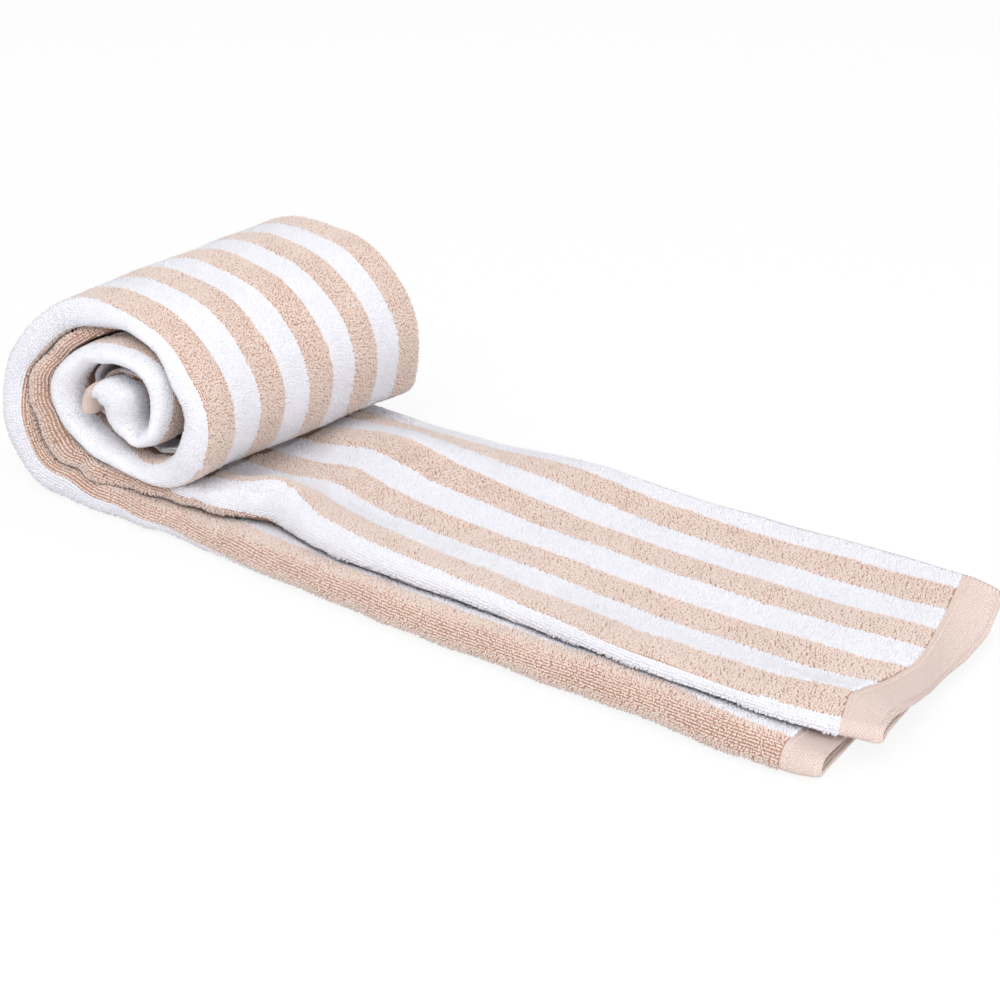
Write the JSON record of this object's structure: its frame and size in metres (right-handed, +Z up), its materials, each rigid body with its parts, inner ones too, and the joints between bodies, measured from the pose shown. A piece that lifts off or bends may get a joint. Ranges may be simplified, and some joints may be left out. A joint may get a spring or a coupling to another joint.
{
  "type": "bath sheet",
  "caption": "Striped terry bath sheet, folded lengthwise into a stack of layers and rolled up from one hem, with the rest lying out flat as a tail.",
  "frame": {"origin": "under the middle of the object's box, on the surface it rests on", "axes": "+X along the flat tail from the roll to the outer hem, +Y across the fold from the two rounded folds at the front to the free edges at the back, +Z up"},
  "size_m": [0.6426, 0.267, 0.1378],
  "materials": {
    "terry": "looped cotton pile, matt"
  },
  "bodies": {
    "root": {"bath_sheet": "terry"}
  },
  "joints": []
}
